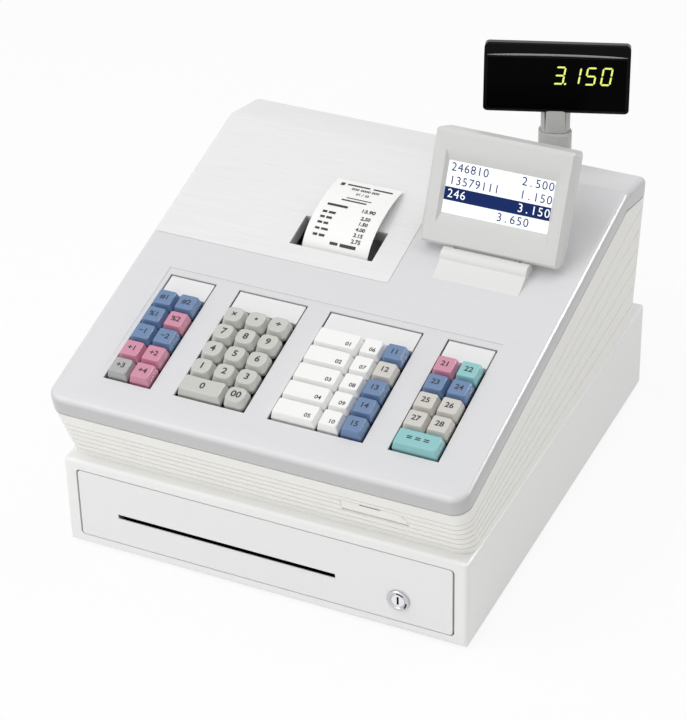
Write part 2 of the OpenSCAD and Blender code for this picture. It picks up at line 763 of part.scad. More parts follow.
module customer_display_case() {
    color("#111113") on_customer_display() difference() {
        intersection() {
            // upright face with a bevel that leans back above it
            side_profile([[2, 0], [0, 2], [0, cust_h - 10], [4, cust_h - 1], [6, cust_h], [cust_t - 4, cust_h],
                [cust_t, cust_h - 5], [cust_t, 8], [cust_t - 5, 0]], cust_w);
            translate([0, 40, cust_h / 2]) rotate([90, 0, 0]) linear_extrude(80) round_rect(cust_w, cust_h, 4);
        }
        span([-glass_w / 2, -1, glass_v], [glass_w / 2, glass_t, glass_v + glass_h]);
    }
    // neck under the display and the journal that turns in the mast
    color("#c4c4c0") turned_with_display() {
        translate([0, 0, mast_top + seam]) oval(neck_w, neck_t, cust_z - mast_top + 2);
        translate([0, 0, mast_top - journal_len]) cylinder(r = journal_r, h = journal_len + 5);
    }
}

module customer_display_window() color("#060608") on_customer_display()
    span([lcd_gap - glass_w / 2, 0.05, glass_v + lcd_gap],
        [glass_w / 2 - lcd_gap, glass_t, glass_v + glass_h - lcd_gap]);

// ---------- electronics ----------

module main_board() {
    z = floor_z + boss_h;
    color("#3f6b46") difference() {
        span([-115, -173, z], [115, -3, z + 1.6]);
        for (sx = [-1, 1], y = board_y) translate([sx * board_x, y, z - 1]) cylinder(r = 1.7, h = 4);
    }
    // socket for a memory card behind the small door
    color("#b8b8bc") difference() {
        span([door_x0 + 6, -181, z + 1.6 - eps], [door_x0 + 42, -149, door_z0 + door_h - 2]);
        span([door_x0 + 11, -190, door_z0 + 4], [door_x0 + 37, -153, door_z0 + 6.6]);
    }
    // chips and capacitors
    color("#202022") for (p = [[-60, -113, 28], [0, -103, 36], [-20, -53, 20]])
        translate([p[0], p[1], z + 1.6 - eps]) cube([p[2], p[2] * 0.8, 3]);
    color("#30343c") for (i = [0 : 3]) translate([-96 + 14 * i, -21, z + 1.6 - eps]) cylinder(r = 5, h = 16);
}

// laminated core with its winding
module power_transformer() translate([92, 103, floor_z]) {
    leg = 11;
    color("#6c6c6e") difference() {
        span([-33, -22, 0], [33, 22, 54]);
        for (s = [0, 1]) mirror([s, 0, 0]) span([leg, -30, leg], [2 * leg, 30, 54 - leg]);
    }
    color("#c8a24a") difference() {
        span([0.5 - 2 * leg, -31, leg + 0.5], [2 * leg - 0.5, 31, 53.5 - leg]);
        span([eps - leg, eps - 22, 0], [leg - eps, 22 - eps, 54]);
    }
}

// ---------- drawer cabinet ----------

module at_feet(z) for (sx = [-1, 1], sy = [-1, 1]) translate([sx * foot_x, cab_y + sy * foot_y, z]) children();

module drawer_cabinet() color("#e6e6e6") from_cabinet_base() {
    difference() {
        translate([0, cab_y, 0]) soft_block(cab_w, cab_d, cab_h, 4);
        // cavity behind the front frame
        translate([0, cab_y + (frame_t - sheet) / 2, sheet])
            linear_extrude(cab_h - 2 * sheet) round_rect(cab_w - 2 * sheet, cab_d - frame_t - sheet, 3);
        // opening that the drawer's front sits in
        translate([0, face_y + frame_t + 2, front_z + front_h / 2]) rotate([90, 0, 0])
            linear_extrude(frame_t + 10)
            round_rect(front_w + 2 * side_gap, front_h + 2 * front_gap, front_r + front_gap);
        // holes for the feet
        at_feet(-1) cylinder(r = 3, h = sheet + 2);
    }
    // bracket and pin of the latch
    for (s = [-1, 1]) translate([latch_x + s * 3.5, latch_y, 0])
        span([-1, -6, latch_z - 5], [1, 6, cab_h - sheet + eps]);
    translate([latch_x, latch_y, latch_z]) rod(latch_pin, 9);
    // stud that carries the spring
    translate([spring_x, spring_y1 + eps, spring_z]) rotate([90, 0, 0]) cylinder(r = 5.5, h = 8);
}

module rubber_feet() color("#2c2c2e")
    at_feet(0) {
        cylinder(r = 9, h = foot_h);
        cylinder(r = 3 - run, h = foot_h + sheet + 1);
        translate([0, 0, foot_h + sheet + run]) cylinder(r = 4, h = 1);
    }

// channel rails, one on each side wall of the cabinet
module drawer_runners() color("#b9b9bb") from_cabinet_base()
    for (s = [0, 1]) mirror([s, 0, 0]) translate([0, rail_y0, glide_z]) {
        low = -glide_gap - sheet;
        high = glide_h + glide_gap;
        span([rail_x, 0, low], [rail_x + sheet, rail_len, high + sheet]);
        for (z = [low, high]) span([box_half + 0.5, 0, z], [rail_x + sheet, rail_len, z + sheet]);
        span([rail_x, 0, low], [cab_w / 2 - sheet, rail_len, low + sheet]);
    }

// narrow slot that slips are posted through
module slip_slot(y, t) span([slot_x0, y, slot_z - slot_h / 2], [slot_x1, y + t, slot_z + slot_h / 2]);

module drawer_box() from_cabinet_base() {
    color("#bcbcbe") {
        difference() {
            translate([-box_half, box_y0, box_z]) cube([2 * box_half, box_len, box_h]);
            translate([-box_half + sheet, box_y0 + sheet, box_z + sheet])
                cube([2 * (box_half - sheet), box_len - 2 * sheet, box_h]);
            slip_slot(box_y0 - 1, 4);
            translate([lock_x, box_y0 - 1, lock_z]) rotate([-90, 0, 0]) cylinder(r = 12, h = 4);
        }
        // rolled upper rims of the side walls
        for (s = [-1, 1]) translate([s * (box_half - 0.2), box_y0, box_z + box_h - 1])
            rotate([-90, 0, 0]) cylinder(r = 1.8, h = box_len);
        // tab with the notch that the latch drops into
        difference() {
            span([latch_x - 2.5, box_y0 + box_len - eps, 38], [latch_x + 2.5, latch_y - 5, 46]);
            span([latch_x - 3, latch_y - 15, 42], [latch_x + 3, latch_y - 9, 47]);
        }
    }
    // nylon strips that run in the rails
    color("#efefea") for (s = [0, 1]) mirror([s, 0, 0])
        span([box_half - eps, box_y0 + 2, glide_z], [box_half + glide_w, box_y0 + box_len, glide_z + glide_h]);
}

module drawer_front() color("#e4e4e4") from_cabinet_base() difference() {
    translate([0, face_y + panel_t, front_z + front_h / 2]) rotate([90, 0, 0])
        linear_extrude(panel_t) round_rect(front_w, front_h, front_r);
    // hollow back with its stiffening ribs
    difference() {
        translate([0, face_y + panel_t + 1, front_z + front_h / 2]) rotate([90, 0, 0])
            linear_extrude(panel_t + 1 - panel_skin)
            round_rect(front_w - 2 * panel_skin, front_h - 2 * panel_skin, 1);
        translate([lock_x, face_y, lock_z]) rotate([-90, 0, 0]) cylinder(r = 13, h = panel_t);
        for (x = [-150, -130, 66, 90]) span([x, face_y, front_z], [x + 2, face_y + panel_t, front_z + front_h]);
    }
    span([slot_x0 - 2, face_y + slot_skin, slot_z - 4], [slot_x1 + 2, face_y + panel_t + 1, slot_z + 4]);
    slip_slot(face_y - 1, panel_t + 2);
    translate([lock_x, face_y - 1, lock_z]) rotate([-90, 0, 0]) cylinder(r = lock_r + run, h = panel_t + 2);
}

// moulded tray: coin cups with scooped floors in front, note bays behind
module cash_tray() color("#3a3c40") from_cabinet_base() difference() {
    scoop_r = 60;
    low = tray_z + tray_floor;
    translate([-tray_half, tray_y0, tray_z]) cube([2 * tray_half, tray_len, tray_h]);
    for (i = [0 : coin_n - 1]) intersection() {
        translate([i * (coin_w + tray_t) + tray_t - tray_half, tray_y0 + tray_t, low])
            cube([coin_w, coin_len, tray_h]);
        union() {
            translate([0, tray_y0 + tray_t + coin_len / 2, low + scoop_r]) rod(scoop_r, cab_w);
            span([-cab_w / 2, tray_y0, low + 17], [cab_w / 2, note_y0, low + tray_h]);
        }
    }
    for (i = [0 : note_n - 1]) translate([i * (note_w + tray_t) + tray_t - tray_half, 0, 0]) {
        span([0, note_y0, low], [note_w, note_y1, low + tray_h]);
        // bearing grooves for the clip's rod
        translate([note_w / 2, clip_y, clip_z]) rod(clip_r + run, note_w + 2);
        span([-1, clip_y - clip_r - run, clip_z], [note_w + 1, clip_y + clip_r + run, clip_z + 20]);
    }
}

// clip that holds the notes of one bay down
module note_clip(i) color("#d4d4d6") from_cabinet_base()
    translate([(i - 0.5) * note_w + i * tray_t - tray_half, clip_y, clip_z]) {
        rod(clip_r, note_w + 1.4);
        rotate([clip_drop, 0, 0]) {
            for (s = [-1, 1]) span([s * 14 - 1, -clip_len, -1], [s * 14 + 1, 0, 1]);
            for (y = [0, 8]) translate([0, y - clip_len, 0]) rod(1, 30);
            span([-7, 3 - clip_len, -0.6], [7, 11 - clip_len, 1.4]);
        }
    }

module on_lock() from_cabinet_base() translate([lock_x, face_y, lock_z]) rotate([-90, 0, 0]) children();

module lock_barrel() color("#c8c8cc") on_lock() difference() {
    union() {
        // chrome ring with a round shoulder
        rotate_extrude() polygon(concat([[0, 0], [9.4, 0]], arc([7.9, -1], 1.5, 0, -90, 8),
            [[6.6, -2.5], [6.2, -1.8], [0, -1.8]]));
        cylinder(r = lock_r, h = lock_len);
        translate([0, 0, panel_t]) cylinder(r = 11, h = 2.5);
    }
    translate([0, 0, -5]) cylinder(r = plug_r + run, h = 40);
}

module lock_plug() color("#b0b0b4") on_lock() {
    difference() {
        translate([0, 0, -1.6]) cylinder(r = plug_r, h = lock_len + 2);
        span([-0.8, -3.8, -5], [0.8, 3.8, 10]);
    }
    // cam on the inner end
    translate([0, 0, lock_len + 0.3]) linear_extrude(2) {
        circle(6);
        translate([-4, 0]) square([8, 14]);
    }
}

// latch lever on its pin, its nose above the notch of the drawer's tab
module latch_lever() color("#a8a8ac") from_cabinet_base() translate([latch_x, latch_y, latch_z]) difference() {
    union() {
        rod(4, 3);
        side_profile([[-14, -11.5], [-10, -11.5], [-9, -4], [0, -3.5], [0, 4], [-12, 3]], 3);
    }
    rod(latch_pin + run, 10);
}

// ring of points round the wire at angle a of a coil along Y
spring_pitch = (spring_y1 - spring_y0 - 2 * spring_wire) / spring_turns;
function coil_ring(a) = [for (k = [0 : 5]) let (b = k * 60, r = spring_r + spring_wire * cos(b))
    [r * cos(a), spring_wire * (1 + sin(b)) + a / 360 * spring_pitch, r * sin(a)]];

// compression spring that pushes the drawer out when the latch lets go
module eject_spring() color("#9a9a9e") from_cabinet_base() translate([spring_x, spring_y0, spring_z]) {
    n = spring_turns * 12;
    polyhedron(
        points = [for (i = [0 : n]) each coil_ring(i * 30)],
        faces = concat([[for (k = [5 : -1 : 0]) k]], [[for (k = [0 : 5]) n * 6 + k]],
            [for (i = [0 : n - 1], k = [0 : 5]) let (a = i * 6, b = (k + 1) % 6)
                [a + k, a + b, a + 6 + b, a + 6 + k]]));
}

// ---------- one line for each node ----------

drawer_cabinet();
rubber_feet();
drawer_runners();
drawer_box();
drawer_front();
cash_tray();
note_clip(1);  // note_clip_1
note_clip(2);  // note_clip_2
note_clip(3);  // note_clip_3
note_clip(4);  // note_clip_4
lock_barrel();
lock_plug();
latch_lever();
eject_spring();
lower_case();
upper_cover();
printer_cover();
paper_cradle();
print_head();
platen_roller();
paper_roll();
receipt();
card_door();
main_board();
power_transformer();
key_contact_sheet();
window_fillers();
display_stand();
operator_display_case();
lcd_panel();
display_mast();
customer_display_case();
customer_display_window();
left_row(1);  // left_keys_row_1
left_row(2);  // left_keys_row_2
left_row(3);  // left_keys_row_3
left_row(4);  // left_keys_row_4
left_row(5);  // left_keys_row_5
function_keys_row();
number_key(1, 2);  // key_7
number_key(2, 2);  // key_8
number_key(3, 2);  // key_9
number_key(1, 3);  // key_4
number_key(2, 3);  // key_5
number_key(3, 3);  // key_6
number_key(1, 4);  // key_1
number_key(2, 4);  // key_2
number_key(3, 4);  // key_3
number_key(1, 5, 2);  // key_0
number_key(3, 5);  // key_00
centre_row(1);  // centre_keys_row_1
centre_row(2);  // centre_keys_row_2
centre_row(3);  // centre_keys_row_3
centre_row(4);  // centre_keys_row_4
centre_row(5);  // centre_keys_row_5
right_row(1);  // right_keys_row_1
right_row(2);  // right_keys_row_2
right_row(3);  // right_keys_row_3
right_row(4);  // right_keys_row_4
total_key();
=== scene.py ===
import math
import bpy
from mathutils import Matrix, Vector


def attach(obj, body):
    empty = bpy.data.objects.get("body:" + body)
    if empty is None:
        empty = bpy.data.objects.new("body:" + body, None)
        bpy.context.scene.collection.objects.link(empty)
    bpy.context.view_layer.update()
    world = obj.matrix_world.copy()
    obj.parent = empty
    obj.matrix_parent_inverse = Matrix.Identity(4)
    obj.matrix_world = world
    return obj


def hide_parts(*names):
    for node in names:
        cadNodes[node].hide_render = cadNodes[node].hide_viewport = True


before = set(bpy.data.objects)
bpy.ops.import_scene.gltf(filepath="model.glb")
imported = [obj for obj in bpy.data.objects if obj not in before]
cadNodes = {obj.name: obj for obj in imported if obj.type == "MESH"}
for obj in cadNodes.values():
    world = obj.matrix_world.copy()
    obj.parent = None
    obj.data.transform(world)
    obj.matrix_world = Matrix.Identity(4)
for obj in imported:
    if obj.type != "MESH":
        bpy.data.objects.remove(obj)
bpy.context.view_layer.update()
mm = 0.001
print("frame loaded:", len(cadNodes), "nodes")


# camera, with sizes in mm and angles in degrees

camera = {
    "azimuth": 25.58,
    "elevation": 33.85,
    "roll": -1.33,
    "distance": 2112.4,
    "target": (-17.3, 7.0, 93.5),
    "focalPixels": 2556.3,
    "axisPixel": (346.0, 361.9),
    "imageSize": (686, 720),
    "sensor": 36.0,
}


def makeCamera(c):
    az, el, roll = (math.radians(c[k]) for k in ("azimuth", "elevation", "roll"))
    back = Vector((math.sin(az) * math.cos(el), -math.cos(az) * math.cos(el), math.sin(el)))
    level = (-back).cross(Vector((0, 0, 1))).normalized()
    upright = back.cross(level)
    right = level * math.cos(roll) + upright * math.sin(roll)
    up = upright * math.cos(roll) - level * math.sin(roll)
    data = bpy.data.cameras.new("camera")
    width, height = c["imageSize"]
    data.sensor_width = c["sensor"]
    data.lens = c["focalPixels"] * c["sensor"] / height
    data.shift_x = (width / 2 - c["axisPixel"][0]) / height
    data.shift_y = (c["axisPixel"][1] - height / 2) / height
    data.clip_start, data.clip_end = 0.1, 20
    piece = bpy.data.objects.new("camera", data)
    bpy.context.scene.collection.objects.link(piece)
    turn = Matrix((right, up, back)).transposed().to_4x4()
    place = Vector(c["target"]) * mm + back * c["distance"] * mm
    piece.matrix_world = Matrix.Translation(place) @ turn
    bpy.context.scene.camera = piece


makeCamera(camera)


# the covers' top: two flat parts that meet in a crease, its y and z in mm, tilts in degrees

top = {"bend": (127.6, 233.4), "tilt": 14.0, "rearTilt": -11.0}


# materials

def colour(text):
    parts = [int(text[i:i + 2], 16) / 255 for i in (1, 3, 5)]
    return [c / 12.92 if c <= 0.04045 else ((c + 0.055) / 1.055) ** 2.4 for c in parts] + [1]


def addNode(tree, kind, settings=None, links=None):
    node = tree.nodes.new(kind)
    for name, value in (settings or {}).items():
        if isinstance(name, int) or name in node.inputs:
            node.inputs[name].default_value = value
        else:
            setattr(node, name, value)
    for name, source in (links or {}).items():
        tree.links.new(source, node.inputs[name])
    return node


def newMaterial(name):
    material = bpy.data.materials.new(name)
    material.use_nodes = True
    tree = material.node_tree
    tree.nodes.clear()
    return material, tree


def finishMaterial(tree, shader):
    addNode(tree, "ShaderNodeOutputMaterial", links={"Surface": shader.outputs[0]})


def stretchedNoise(tree, sizes):
    # noise whose features are about sizes = (x, y, z) mm long
    place = addNode(tree, "ShaderNodeTexCoord")
    scaled = addNode(tree, "ShaderNodeMapping",
                     {"Scale": [1000 / s for s in sizes]}, {"Vector": place.outputs["Object"]})
    return addNode(tree, "ShaderNodeTexNoise", {"Scale": 1.0, "Detail": 2.0},
                   {"Vector": scaled.outputs[0]})


# painted shade: the band's darker grey stands in for the shade where the covers' rounded edge and
# skirt turn away from the light
coverShadeBand = {          # darker band round the edge of the covers, in mm below their top
    "start": 0.3,
    "full": 3.6,
    "colour": "#C2C2C3",
}


def aboveShadeBand(tree):
    # 1 on the covers' tops and 0 on the band of painted shade round their edge
    place = addNode(tree, "ShaderNodeTexCoord")
    shares = []
    for tilt in (top["tilt"], top["rearTilt"]):
        a = math.radians(tilt)
        out = Vector((0, -math.sin(a), math.cos(a)))
        crease = out.dot(Vector((0, *top["bend"])))
        height = addNode(tree, "ShaderNodeVectorMath", {"operation": "DOT_PRODUCT", 1: out},
                         {0: place.outputs["Object"]})
        shares.append(addNode(tree, "ShaderNodeMapRange",
                              {"From Min": (crease - coverShadeBand["full"]) * mm,
                               "From Max": (crease - coverShadeBand["start"]) * mm},
                              {"Value": height.outputs["Value"]}))
    return addNode(tree, "ShaderNodeMath", {"operation": "MAXIMUM"},
                   {0: shares[0].outputs[0], 1: shares[1].outputs[0]})


def plastic(name, hexColour, roughness=0.42, grain=(1.2, 1.2, 1.2), depth=0.012, streak=0.0,
            coat=0.0, ior=1.53, specular=0.5, shadeBanded=False):
    # ABS or another moulded plastic: an even colour under a soft, slightly uneven gloss;
    # the real grain is about 0.2 mm and is drawn coarser so that it shows at all
    material, tree = newMaterial(name)
    noise = stretchedNoise(tree, grain)
    bump = addNode(tree, "ShaderNodeBump", {"Strength": 0.5, "Distance": depth * mm},
                   {"Height": noise.outputs["Fac"]})
    shader = addNode(tree, "ShaderNodeBsdfPrincipled",
                     {"Base Color": colour(hexColour), "Roughness": roughness, "IOR": ior,
                      "Specular IOR Level": specular, "Coat Weight": coat, "Coat Roughness": 0.12},
                     {"Normal": bump.outputs[0]})
    if streak:
        shade = addNode(tree, "ShaderNodeMapRange",
                        {"From Min": 0.3, "From Max": 0.7,
                         "To Min": 1 - streak, "To Max": 1 + streak},
                        {"Value": noise.outputs["Fac"]})
        tint = addNode(tree, "ShaderNodeVectorMath",
                       {"operation": "SCALE", 0: colour(hexColour)[:3]},
                       {"Scale": shade.outputs[0]})
        # painted shade: the covers darken towards the band colour over their rounded edge and skirt
        if shadeBanded:
            tint = addNode(tree, "ShaderNodeMixRGB", {"Color1": colour(coverShadeBand["colour"])},
                           {"Fac": aboveShadeBand(tree).outputs[0], "Color2": tint.outputs[0]})
        tree.links.new(tint.outputs[0], shader.inputs["Base Color"])
    finishMaterial(tree, shader)
    return material


def enamel(name, hexColour):
    # stoved enamel on sheet steel: glossier than the plastic, with a faint orange peel of 3 mm
    material, tree = newMaterial(name)
    peel = stretchedNoise(tree, (3, 3, 3))
    bump = addNode(tree, "ShaderNodeBump", {"Strength": 0.35, "Distance": 0.03 * mm},
                   {"Height": peel.outputs["Fac"]})
    shader = addNode(tree, "ShaderNodeBsdfPrincipled",
                     {"Base Color": colour(hexColour), "Roughness": 0.36, "IOR": 1.5},
                     {"Normal": bump.outputs[0]})
    finishMaterial(tree, shader)
    return material


def metal(name, hexColour, roughness, grain=(40, 0.8, 0.8), depth=0.004):
    # steel or aluminium: rolled, drawn or turned, so its marks run one way
    material, tree = newMaterial(name)
    marks = stretchedNoise(tree, grain)
    bump = addNode(tree, "ShaderNodeBump", {"Strength": 0.4, "Distance": depth * mm},
                   {"Height": marks.outputs["Fac"]})
    shader = addNode(tree, "ShaderNodeBsdfPrincipled",
                     {"Base Color": colour(hexColour), "Metallic": 1.0, "Roughness": roughness},
                     {"Normal": bump.outputs[0]})
    finishMaterial(tree, shader)
    return material


def paper(name, hexColour):
    # coated thermal paper: nearly matt, faintly fibrous
    material, tree = newMaterial(name)
    fibre = stretchedNoise(tree, (1.5, 1.5, 1.5))
    bump = addNode(tree, "ShaderNodeBump", {"Strength": 0.3, "Distance": 0.01 * mm},
                   {"Height": fibre.outputs["Fac"]})
    shader = addNode(tree, "ShaderNodeBsdfPrincipled",
                     {"Base Color": colour(hexColour), "Roughness": 0.55, "IOR": 1.45},
                     {"Normal": bump.outputs[0]})
    finishMaterial(tree, shader)
    return material


def ink(name, hexColour):
    # printed or moulded-in lettering, and the near-black of the dark reflections painted on the
    # lock's ring
    material, tree = newMaterial(name)
    finishMaterial(tree, addNode(tree, "ShaderNodeBsdfPrincipled",
                                 {"Base Color": colour(hexColour), "Roughness": 0.5,
                                  "IOR": 1.45}))
    return material


def lit(name, hexColour, strength, roughness=0.2, specular=0.5):
    # a lamp, or a screen lit from behind, under clear plastic
    material, tree = newMaterial(name)
    finishMaterial(tree, addNode(tree, "ShaderNodeBsdfPrincipled",
                                 {"Base Color": colour(hexColour), "Roughness": roughness,
                                  "IOR": 1.49, "Specular IOR Level": specular,
                                  "Emission Color": colour(hexColour),
                                  "Emission Strength": strength}))
    return material


finish = {
    "cabinetEnamel": enamel("cabinetEnamel", "#EEEEED"),
    "drawerFrontEnamel": enamel("drawerFrontEnamel", "#EBEBEB"),
    "blackRubber": plastic("blackRubber", "#2A2A2C", 0.75, depth=0.03, ior=1.52),
    "galvanisedSteel": metal("galvanisedSteel", "#B9B9BB", 0.38, grain=(8, 8, 8), depth=0.02),
    "trayAbs": plastic("trayAbs", "#3A3C40", 0.5, depth=0.03),
    "zincClip": metal("zincClip", "#C9C9CC", 0.3),
    "lockChrome": metal("lockChrome", "#C8C8CC", 0.14, depth=0.002),
    "plugChrome": metal("plugChrome", "#EAEAEE", 0.16, depth=0.002),
    "springWire": metal("springWire", "#9A9A9E", 0.3),
    "ivoryAbs": plastic("ivoryAbs", "#F0EFEA", 0.45),
    # both covers carry the band of painted shade round their edge
    "coverAbs": plastic("coverAbs", "#DBDBDD", 0.3, grain=(45, 0.9, 45), depth=0.006, streak=0.012,
                        shadeBanded=True),
    "printerCoverAbs": plastic("printerCoverAbs", "#E9E9E9", 0.3, grain=(45, 0.9, 45),
                               depth=0.006, streak=0.03, shadeBanded=True),
    "frameAbs": plastic("frameAbs", "#C9C9C4", 0.5),
    "headAluminium": metal("headAluminium", "#C0C0C4", 0.32),
    "platenRubber": plastic("platenRubber", "#3A3A3C", 0.7, ior=1.52),
    "thermalPaper": paper("thermalPaper", "#F7F7F5"),
    "solderMask": plastic("solderMask", "#3F6B46", 0.3),
    "laminatedSteel": metal("laminatedSteel", "#6C6C6E", 0.5),
    "contactSilicone": plastic("contactSilicone", "#232325", 0.7, ior=1.41),
    "fillerAbs": plastic("fillerAbs", "#E6E6E6", 0.45),
    "standAbs": plastic("standAbs", "#DEDEDC", 0.4),
    "displayAbs": plastic("displayAbs", "#D2D2D0", 0.4),
    "mastAbs": plastic("mastAbs", "#C6C6C3", 0.4),
    "blackAbs": plastic("blackAbs", "#040405", 0.3, specular=0.07),
    # pale grey that paints a highlight along the customer display's window lip
    "lipHighlightGrey": plastic("lipHighlightGrey", "#7E7E82", 0.2, coat=0.8),
    "smokedAcrylic": plastic("smokedAcrylic", "#010102", 0.14, depth=0.0, ior=1.49, specular=0.03),
    "screenGlass": lit("screenGlass", "#EEF2F8", 0.3, 0.14),
    "screenBand": lit("screenBand", "#0A2560", 0.08, 0.2, specular=0.08),
    "ledSegment": lit("ledSegment", "#C2CC62", 0.85),
    "keyLegend": ink("keyLegend", "#2E2E34"),
    "slipPrint": ink("slipPrint", "#2A2A2E"),
    # near-black arcs on the lock's chrome ring: painted dark reflections
    "lockReflectionBlack": ink("lockReflectionBlack", "#161618"),
    "keyBlue": plastic("keyBlue", "#6782A8", 0.36, depth=0.003),
    "keyPink": plastic("keyPink", "#CD8AA1", 0.36, depth=0.003),
    "keyGrey": plastic("keyGrey", "#ACACAD", 0.38, depth=0.003),
    "keyPutty": plastic("keyPutty", "#C6C6C1", 0.38, depth=0.003),
    "keyWhite": plastic("keyWhite", "#F3F3F1", 0.38, depth=0.003),
    "keyBeige": plastic("keyBeige", "#CECBC5", 0.38, depth=0.003),
    "keyTeal": plastic("keyTeal", "#8CC3C5", 0.36, depth=0.003),
}
print("materials made:", len(finish))


# CAD nodes: their finish, and how far their edges are rounded in mm

edges = {
    "join": 0.005,       # mm, points nearer than this are one
    "smoothBelow": 24,   # degrees between faces that shade as one surface
    "flatWithin": 0.5,   # degrees between faces that count as one plane
    "roundAbove": 34,    # degrees between faces whose edge is rounded
}
neckTop = 274.0          # mm, height where the customer display's grey neck meets its black case


def edgeTool():
    # joins the mesh's faces again and shades it smooth except across real edges
    tree = bpy.data.node_groups.new("smoothByAngle", "GeometryNodeTree")
    tree.interface.new_socket("Geometry", in_out="INPUT", socket_type="NodeSocketGeometry")
    tree.interface.new_socket("Geometry", in_out="OUTPUT", socket_type="NodeSocketGeometry")
    start = addNode(tree, "NodeGroupInput")
    plain = addNode(tree, "GeometryNodeRemoveAttribute", {"Name": "custom_normal"},
                    {"Geometry": start.outputs[0]})
    joined = addNode(tree, "GeometryNodeMergeByDistance", {"Distance": edges["join"] * mm},
                     {"Geometry": plain.outputs[0]})
    faces = addNode(tree, "GeometryNodeSetShadeSmooth", {"domain": "FACE", "Shade Smooth": True},
                    {"Geometry": joined.outputs[0]})
    angle = addNode(tree, "GeometryNodeInputMeshEdgeAngle")
    flat = addNode(tree, "FunctionNodeCompare",
                   {"data_type": "FLOAT", "operation": "LESS_THAN",
                    1: math.radians(edges["smoothBelow"])},
                   {0: angle.outputs[0]})
    shaded = addNode(tree, "GeometryNodeSetShadeSmooth", {"domain": "EDGE"},
                     {"Geometry": faces.outputs[0], "Shade Smooth": flat.outputs[0]})
    addNode(tree, "NodeGroupOutput", links={0: shaded.outputs[0]})
    return tree


smoothByAngle = edgeTool()


def roundEdges(piece, width):
    tidy = piece.modifiers.new("smoothByAngle", "NODES")
    tidy.node_group = smoothByAngle
    if not width:
        return
    dissolve = piece.modifiers.new("planarFaces", "DECIMATE")
    dissolve.decimate_type = "DISSOLVE"
    dissolve.angle_limit = math.radians(edges["flatWithin"])
    bevel = piece.modifiers.new("edgeRounding", "BEVEL")
    bevel.width = width * mm
    bevel.segments = 2
    bevel.limit_method = "ANGLE"
    bevel.angle_limit = math.radians(edges["roundAbove"])
    bevel.harden_normals = True
    bevel.miter_outer = "MITER_ARC"


def neckTool(height, material):
    # gives the faces below that height, in mm, another material
    tree = bpy.data.node_groups.new("neckFinish", "GeometryNodeTree")
    tree.interface.new_socket("Geometry", in_out="INPUT", socket_type="NodeSocketGeometry")
    tree.interface.new_socket("Geometry", in_out="OUTPUT", socket_type="NodeSocketGeometry")
    start = addNode(tree, "NodeGroupInput")
    place = addNode(tree, "GeometryNodeInputPosition")
    split = addNode(tree, "ShaderNodeSeparateXYZ", links={0: place.outputs[0]})
    low = addNode(tree, "FunctionNodeCompare",
                  {"data_type": "FLOAT", "operation": "LESS_THAN", 1: height * mm},
                  {0: split.outputs["Z"]})
    painted = addNode(tree, "GeometryNodeSetMaterial", {"Material": material},
                      {"Geometry": start.outputs[0], "Selection": low.outputs[0]})
    addNode(tree, "NodeGroupOutput", links={0: painted.outputs[0]})
    return tree


nodeFinish = {
    "drawer_cabinet": ("cabinetEnamel", 0.5),
    "drawer_front": ("drawerFrontEnamel", 0.5),
    "rubber_feet": ("blackRubber", 0.4),
    "drawer_runners": ("galvanisedSteel", 0.0),
    "drawer_box": ("galvanisedSteel", 0.3),
    "cash_tray": ("trayAbs", 0.0),
    "note_clip_1": ("zincClip", 0.0),
    "note_clip_2": ("zincClip", 0.0),
    "note_clip_3": ("zincClip", 0.0),
    "note_clip_4": ("zincClip", 0.0),
    "lock_barrel": ("lockChrome", 0.3),
    "lock_plug": ("plugChrome", 0.2),
    "latch_lever": ("galvanisedSteel", 0.0),
    "eject_spring": ("springWire", 0.0),
    "lower_case": ("ivoryAbs", 0.0),
    "upper_cover": ("coverAbs", 0.0),
    "printer_cover": ("printerCoverAbs", 0.0),
    "paper_cradle": ("frameAbs", 0.3),
    "print_head": ("headAluminium", 0.3),
    "platen_roller": ("platenRubber", 0.0),
    "paper_roll": ("thermalPaper", 0.0),
    "receipt": ("thermalPaper", 0.0),
    "card_door": ("ivoryAbs", 0.0),
    "main_board": ("solderMask", 0.0),
    "power_transformer": ("laminatedSteel", 0.3),
    "key_contact_sheet": ("contactSilicone", 0.0),
    "window_fillers": ("fillerAbs", 0.5),
    "display_stand": ("standAbs", 0.6),
    "operator_display_case": ("displayAbs", 2.2),
    "lcd_panel": ("screenGlass", 0.0),
    "display_mast": ("mastAbs", 0.6),
    "customer_display_case": ("blackAbs", 0.9),
    "customer_display_window": ("smokedAcrylic", 0.2),
}


def paint(piece, material):
    piece.data.materials.clear()
    piece.data.materials.append(material)


for nodeName, (finishName, width) in nodeFinish.items():
    paint(cadNodes[nodeName], finish[finishName])
    roundEdges(cadNodes[nodeName], width)
neck = cadNodes["customer_display_case"].modifiers.new("neckFinish", "NODES")
neck.node_group = neckTool(neckTop, finish["mastAbs"])
print("CAD nodes finished")


# the sloping top's own frame: x across, -y down the slope, z out of it, in mm

slope = (Matrix.Translation(Vector((0, *top["bend"])) * mm)
         @ Matrix.Rotation(math.radians(top["tilt"]), 4, "X") @ Matrix.Scale(mm, 4))


def addPiece(name, vertices, faces, material, body, place=None, smooth=False):
    mesh = bpy.data.meshes.new(name)
    mesh.from_pydata([tuple(v) for v in vertices], [], faces)
    if place is not None:
        mesh.transform(place)
    mesh.update()
    piece = bpy.data.objects.new(name, mesh)
    bpy.context.scene.collection.objects.link(piece)
    for polygon in mesh.polygons:
        polygon.use_smooth = smooth
    paint(piece, material)
    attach(piece, body)
    return piece


# keys, with sizes in mm

